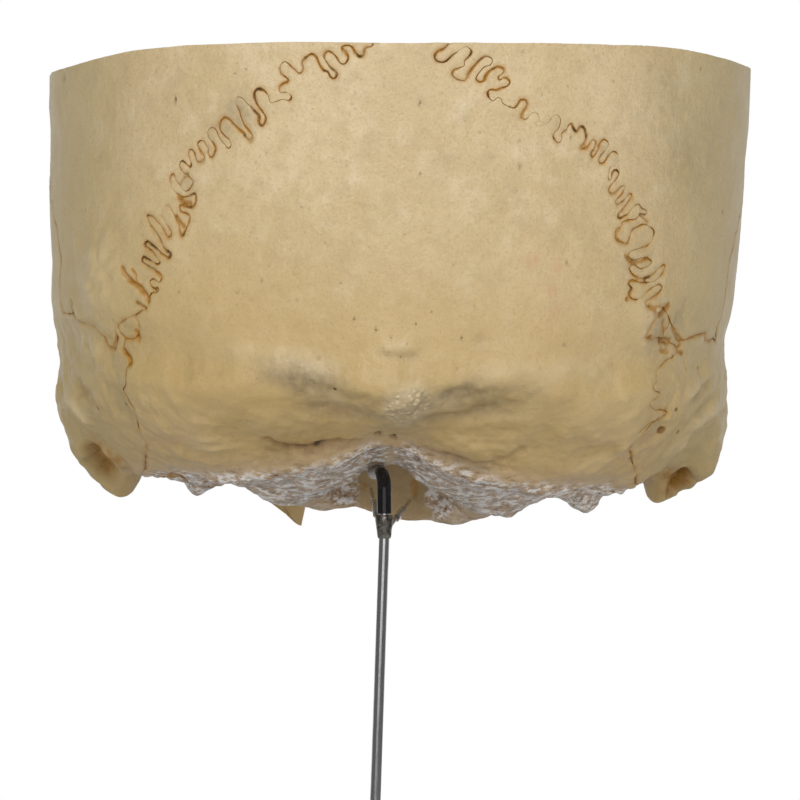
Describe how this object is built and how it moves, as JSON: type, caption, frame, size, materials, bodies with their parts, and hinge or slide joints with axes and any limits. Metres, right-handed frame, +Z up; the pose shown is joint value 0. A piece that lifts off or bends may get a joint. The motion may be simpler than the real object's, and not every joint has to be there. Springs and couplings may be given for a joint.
{
  "type": "partial human skull on a display stand",
  "caption": "Lower braincase of a human skull with the vault sawn off level, its bones separate at the sutures, carried by a hooked steel wire on a round felted base.",
  "frame": {"origin": "middle of the felt underside, on the axis of the rod's socket", "axes": "+Z up along the socket, +Y to the front of the skull, +X to the skull's right"},
  "size_m": [0.1425, 0.1977, 0.1996],
  "materials": {
    "bone": "dry varnished bone, satin",
    "rod_steel": "polished",
    "clear_tube": "clear tubing",
    "braze": "dull",
    "base_paint": "satin black",
    "felt": "felt",
    "plated_metal": "satin nickel"
  },
  "bodies": {
    "base": {"base_plate": "base_paint", "base_felt": "felt", "socket": "plated_metal", "socket_nut": "plated_metal"},
    "stem": {"support_rod": "rod_steel", "hook_sleeve": "clear_tube", "left_prong": "rod_steel", "right_prong": "rod_steel", "left_prong_sleeve": "clear_tube", "right_prong_sleeve": "clear_tube", "braze_joint": "braze"},
    "skull": {"occipital_bone": "bone", "left_parietal_bone": "bone", "right_parietal_bone": "bone", "left_temporal_bone": "bone", "right_temporal_bone": "bone", "frontal_bone": "bone", "sphenoid_bone": "bone", "ethmoid_bone": "bone", "left_sutural_bone": "bone", "right_sutural_bone": "bone"},
    "thumb_screw": {"thumb_screw": "plated_metal"}
  },
  "joints": [
    {"name": "stem_turn", "type": "hinge", "parent": "base", "child": "stem", "pos_m": [0, 0, 0.03], "axis": [0, 0, 1], "continuous": true},
    {"name": "skull_lift", "type": "slide", "parent": "stem", "child": "skull", "axis": [0, 0, 1], "range_m": [0, 0.06]},
    {"name": "thumb_screw_turn", "type": "hinge", "parent": "base", "child": "thumb_screw", "pos_m": [0, 0, 0.02878], "axis": [1, 0, 0], "range_deg": [0, 360]}
  ]
}
